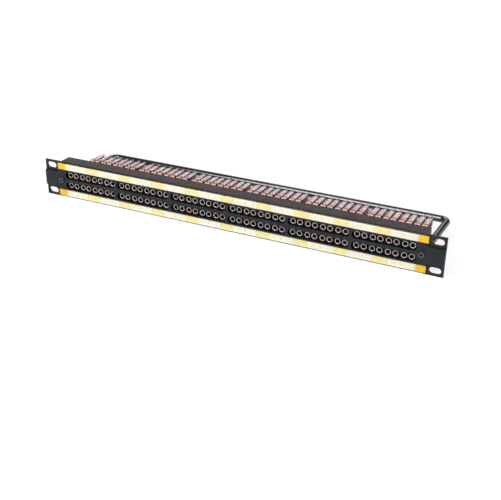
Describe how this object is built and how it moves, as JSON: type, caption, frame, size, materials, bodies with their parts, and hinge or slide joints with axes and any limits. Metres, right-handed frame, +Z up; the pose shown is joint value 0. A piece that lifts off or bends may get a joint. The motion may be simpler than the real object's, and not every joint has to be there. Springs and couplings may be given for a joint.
{
  "type": "audio patch bay",
  "caption": "Rack-mount audio patch bay: black panel with rows of nickel jack sockets, sliding designation strips, red jack housings with solder tags, and a rear lacing bar.",
  "frame": {"origin": "centre of the four rack slots, on the rear face of the rack panel that sits against the rack rails", "axes": "+X to the right seen from the front, +Y to the rear along the jack axes, +Z up"},
  "size_m": [0.4826, 0.1177, 0.0436],
  "materials": {
    "panel_black": "satin powder coat",
    "plate_black": "satin powder coat",
    "strip_black": "satin",
    "cover_clear": "clear",
    "card": "printed card",
    "bar_black": "gloss black",
    "screw_black": "black oxide",
    "nickel": "nickel plated",
    "housing_red": "translucent red",
    "terminal_silver": "silver plated",
    "spring_silver": "nickel silver"
  },
  "bodies": {
    "frame": {"rack_panel": "panel_black", "front_plate": "plate_black", "jack_strip_upper": "strip_black", "jack_strip_lower": "strip_black", "label_cover_upper": "cover_clear", "label_cover_lower": "cover_clear", "lacing_bar": "bar_black", "bar_screws": "screw_black", "jack_barrels_upper": "nickel", "jack_barrels_lower": "nickel", "jack_housings_upper": "housing_red", "jack_housings_lower": "housing_red", "tip_terminals_upper": "terminal_silver", "tip_terminals_lower": "terminal_silver", "tip_normals_upper": "terminal_silver", "tip_normals_lower": "terminal_silver", "ring_terminals_upper": "terminal_silver", "ring_terminals_lower": "terminal_silver", "ring_normals_upper": "terminal_silver", "ring_normals_lower": "terminal_silver", "sleeve_terminals_upper": "terminal_silver", "sleeve_terminals_lower": "terminal_silver"},
    "upper_card": {"label_card_upper": "card"},
    "lower_card": {"label_card_lower": "card"},
    "tips_upper_1": {"tip_springs_upper_1": "spring_silver"},
    "rings_upper_1": {"ring_springs_upper_1": "spring_silver"},
    "tips_upper_2": {"tip_springs_upper_2": "spring_silver"},
    "rings_upper_2": {"ring_springs_upper_2": "spring_silver"},
    "tips_upper_3": {"tip_springs_upper_3": "spring_silver"},
    "rings_upper_3": {"ring_springs_upper_3": "spring_silver"},
    "tips_upper_4": {"tip_springs_upper_4": "spring_silver"},
    "rings_upper_4": {"ring_springs_upper_4": "spring_silver"},
    "tips_upper_5": {"tip_springs_upper_5": "spring_silver"},
    "rings_upper_5": {"ring_springs_upper_5": "spring_silver"},
    "tips_upper_6": {"tip_springs_upper_6": "spring_silver"},
    "rings_upper_6": {"ring_springs_upper_6": "spring_silver"},
    "tips_lower_1": {"tip_springs_lower_1": "spring_silver"},
    "rings_lower_1": {"ring_springs_lower_1": "spring_silver"},
    "tips_lower_2": {"tip_springs_lower_2": "spring_silver"},
    "rings_lower_2": {"ring_springs_lower_2": "spring_silver"},
    "tips_lower_3": {"tip_springs_lower_3": "spring_silver"},
    "rings_lower_3": {"ring_springs_lower_3": "spring_silver"},
    "tips_lower_4": {"tip_springs_lower_4": "spring_silver"},
    "rings_lower_4": {"ring_springs_lower_4": "spring_silver"},
    "tips_lower_5": {"tip_springs_lower_5": "spring_silver"},
    "rings_lower_5": {"ring_springs_lower_5": "spring_silver"},
    "tips_lower_6": {"tip_springs_lower_6": "spring_silver"},
    "rings_lower_6": {"ring_springs_lower_6": "spring_silver"}
  },
  "joints": [
    {"name": "upper_card_slide", "type": "slide", "parent": "frame", "child": "upper_card", "axis": [1, 0, 0], "range_m": [0, 0.43]},
    {"name": "lower_card_slide", "type": "slide", "parent": "frame", "child": "lower_card", "axis": [1, 0, 0], "range_m": [0, 0.43]},
    {"name": "tip_flex_upper_1", "type": "hinge", "parent": "frame", "child": "tips_upper_1", "pos_m": [0, 0.044, 0.00965], "axis": [-1, 0, 0], "range_deg": [0, 4], "stiffness_Nm_per_rad": 0.5},
    {"name": "ring_flex_upper_1", "type": "hinge", "parent": "frame", "child": "rings_upper_1", "pos_m": [0, 0.044, 0.00305], "axis": [1, 0, 0], "range_deg": [0, 3.5], "stiffness_Nm_per_rad": 0.5},
    {"name": "tip_flex_upper_2", "type": "hinge", "parent": "frame", "child": "tips_upper_2", "pos_m": [0, 0.044, 0.00965], "axis": [-1, 0, 0], "range_deg": [0, 4], "stiffness_Nm_per_rad": 0.5},
    {"name": "ring_flex_upper_2", "type": "hinge", "parent": "frame", "child": "rings_upper_2", "pos_m": [0, 0.044, 0.00305], "axis": [1, 0, 0], "range_deg": [0, 3.5], "stiffness_Nm_per_rad": 0.5},
    {"name": "tip_flex_upper_3", "type": "hinge", "parent": "frame", "child": "tips_upper_3", "pos_m": [0, 0.044, 0.00965], "axis": [-1, 0, 0], "range_deg": [0, 4], "stiffness_Nm_per_rad": 0.5},
    {"name": "ring_flex_upper_3", "type": "hinge", "parent": "frame", "child": "rings_upper_3", "pos_m": [0, 0.044, 0.00305], "axis": [1, 0, 0], "range_deg": [0, 3.5], "stiffness_Nm_per_rad": 0.5},
    {"name": "tip_flex_upper_4", "type": "hinge", "parent": "frame", "child": "tips_upper_4", "pos_m": [0, 0.044, 0.00965], "axis": [-1, 0, 0], "range_deg": [0, 4], "stiffness_Nm_per_rad": 0.5},
    {"name": "ring_flex_upper_4", "type": "hinge", "parent": "frame", "child": "rings_upper_4", "pos_m": [0, 0.044, 0.00305], "axis": [1, 0, 0], "range_deg": [0, 3.5], "stiffness_Nm_per_rad": 0.5},
    {"name": "tip_flex_upper_5", "type": "hinge", "parent": "frame", "child": "tips_upper_5", "pos_m": [0, 0.044, 0.00965], "axis": [-1, 0, 0], "range_deg": [0, 4], "stiffness_Nm_per_rad": 0.5},
    {"name": "ring_flex_upper_5", "type": "hinge", "parent": "frame", "child": "rings_upper_5", "pos_m": [0, 0.044, 0.00305], "axis": [1, 0, 0], "range_deg": [0, 3.5], "stiffness_Nm_per_rad": 0.5},
    {"name": "tip_flex_upper_6", "type": "hinge", "parent": "frame", "child": "tips_upper_6", "pos_m": [0, 0.044, 0.00965], "axis": [-1, 0, 0], "range_deg": [0, 4], "stiffness_Nm_per_rad": 0.5},
    {"name": "ring_flex_upper_6", "type": "hinge", "parent": "frame", "child": "rings_upper_6", "pos_m": [0, 0.044, 0.00305], "axis": [1, 0, 0], "range_deg": [0, 3.5], "stiffness_Nm_per_rad": 0.5},
    {"name": "tip_flex_lower_1", "type": "hinge", "parent": "frame", "child": "tips_lower_1", "pos_m": [0, 0.044, -0.00305], "axis": [-1, 0, 0], "range_deg": [0, 4], "stiffness_Nm_per_rad": 0.5},
    {"name": "ring_flex_lower_1", "type": "hinge", "parent": "frame", "child": "rings_lower_1", "pos_m": [0, 0.044, -0.00965], "axis": [1, 0, 0], "range_deg": [0, 3.5], "stiffness_Nm_per_rad": 0.5},
    {"name": "tip_flex_lower_2", "type": "hinge", "parent": "frame", "child": "tips_lower_2", "pos_m": [0, 0.044, -0.00305], "axis": [-1, 0, 0], "range_deg": [0, 4], "stiffness_Nm_per_rad": 0.5},
    {"name": "ring_flex_lower_2", "type": "hinge", "parent": "frame", "child": "rings_lower_2", "pos_m": [0, 0.044, -0.00965], "axis": [1, 0, 0], "range_deg": [0, 3.5], "stiffness_Nm_per_rad": 0.5},
    {"name": "tip_flex_lower_3", "type": "hinge", "parent": "frame", "child": "tips_lower_3", "pos_m": [0, 0.044, -0.00305], "axis": [-1, 0, 0], "range_deg": [0, 4], "stiffness_Nm_per_rad": 0.5},
    {"name": "ring_flex_lower_3", "type": "hinge", "parent": "frame", "child": "rings_lower_3", "pos_m": [0, 0.044, -0.00965], "axis": [1, 0, 0], "range_deg": [0, 3.5], "stiffness_Nm_per_rad": 0.5},
    {"name": "tip_flex_lower_4", "type": "hinge", "parent": "frame", "child": "tips_lower_4", "pos_m": [0, 0.044, -0.00305], "axis": [-1, 0, 0], "range_deg": [0, 4], "stiffness_Nm_per_rad": 0.5},
    {"name": "ring_flex_lower_4", "type": "hinge", "parent": "frame", "child": "rings_lower_4", "pos_m": [0, 0.044, -0.00965], "axis": [1, 0, 0], "range_deg": [0, 3.5], "stiffness_Nm_per_rad": 0.5},
    {"name": "tip_flex_lower_5", "type": "hinge", "parent": "frame", "child": "tips_lower_5", "pos_m": [0, 0.044, -0.00305], "axis": [-1, 0, 0], "range_deg": [0, 4], "stiffness_Nm_per_rad": 0.5},
    {"name": "ring_flex_lower_5", "type": "hinge", "parent": "frame", "child": "rings_lower_5", "pos_m": [0, 0.044, -0.00965], "axis": [1, 0, 0], "range_deg": [0, 3.5], "stiffness_Nm_per_rad": 0.5},
    {"name": "tip_flex_lower_6", "type": "hinge", "parent": "frame", "child": "tips_lower_6", "pos_m": [0, 0.044, -0.00305], "axis": [-1, 0, 0], "range_deg": [0, 4], "stiffness_Nm_per_rad": 0.5},
    {"name": "ring_flex_lower_6", "type": "hinge", "parent": "frame", "child": "rings_lower_6", "pos_m": [0, 0.044, -0.00965], "axis": [1, 0, 0], "range_deg": [0, 3.5], "stiffness_Nm_per_rad": 0.5}
  ],
  "couplings": [
    {"joint": "ring_flex_upper_1", "follows": "tip_flex_upper_1", "ratio": 0.8},
    {"joint": "ring_flex_upper_2", "follows": "tip_flex_upper_2", "ratio": 0.8},
    {"joint": "ring_flex_upper_3", "follows": "tip_flex_upper_3", "ratio": 0.8},
    {"joint": "ring_flex_upper_4", "follows": "tip_flex_upper_4", "ratio": 0.8},
    {"joint": "ring_flex_upper_5", "follows": "tip_flex_upper_5", "ratio": 0.8},
    {"joint": "ring_flex_upper_6", "follows": "tip_flex_upper_6", "ratio": 0.8},
    {"joint": "ring_flex_lower_1", "follows": "tip_flex_lower_1", "ratio": 0.8},
    {"joint": "ring_flex_lower_2", "follows": "tip_flex_lower_2", "ratio": 0.8},
    {"joint": "ring_flex_lower_3", "follows": "tip_flex_lower_3", "ratio": 0.8},
    {"joint": "ring_flex_lower_4", "follows": "tip_flex_lower_4", "ratio": 0.8},
    {"joint": "ring_flex_lower_5", "follows": "tip_flex_lower_5", "ratio": 0.8},
    {"joint": "ring_flex_lower_6", "follows": "tip_flex_lower_6", "ratio": 0.8}
  ]
}
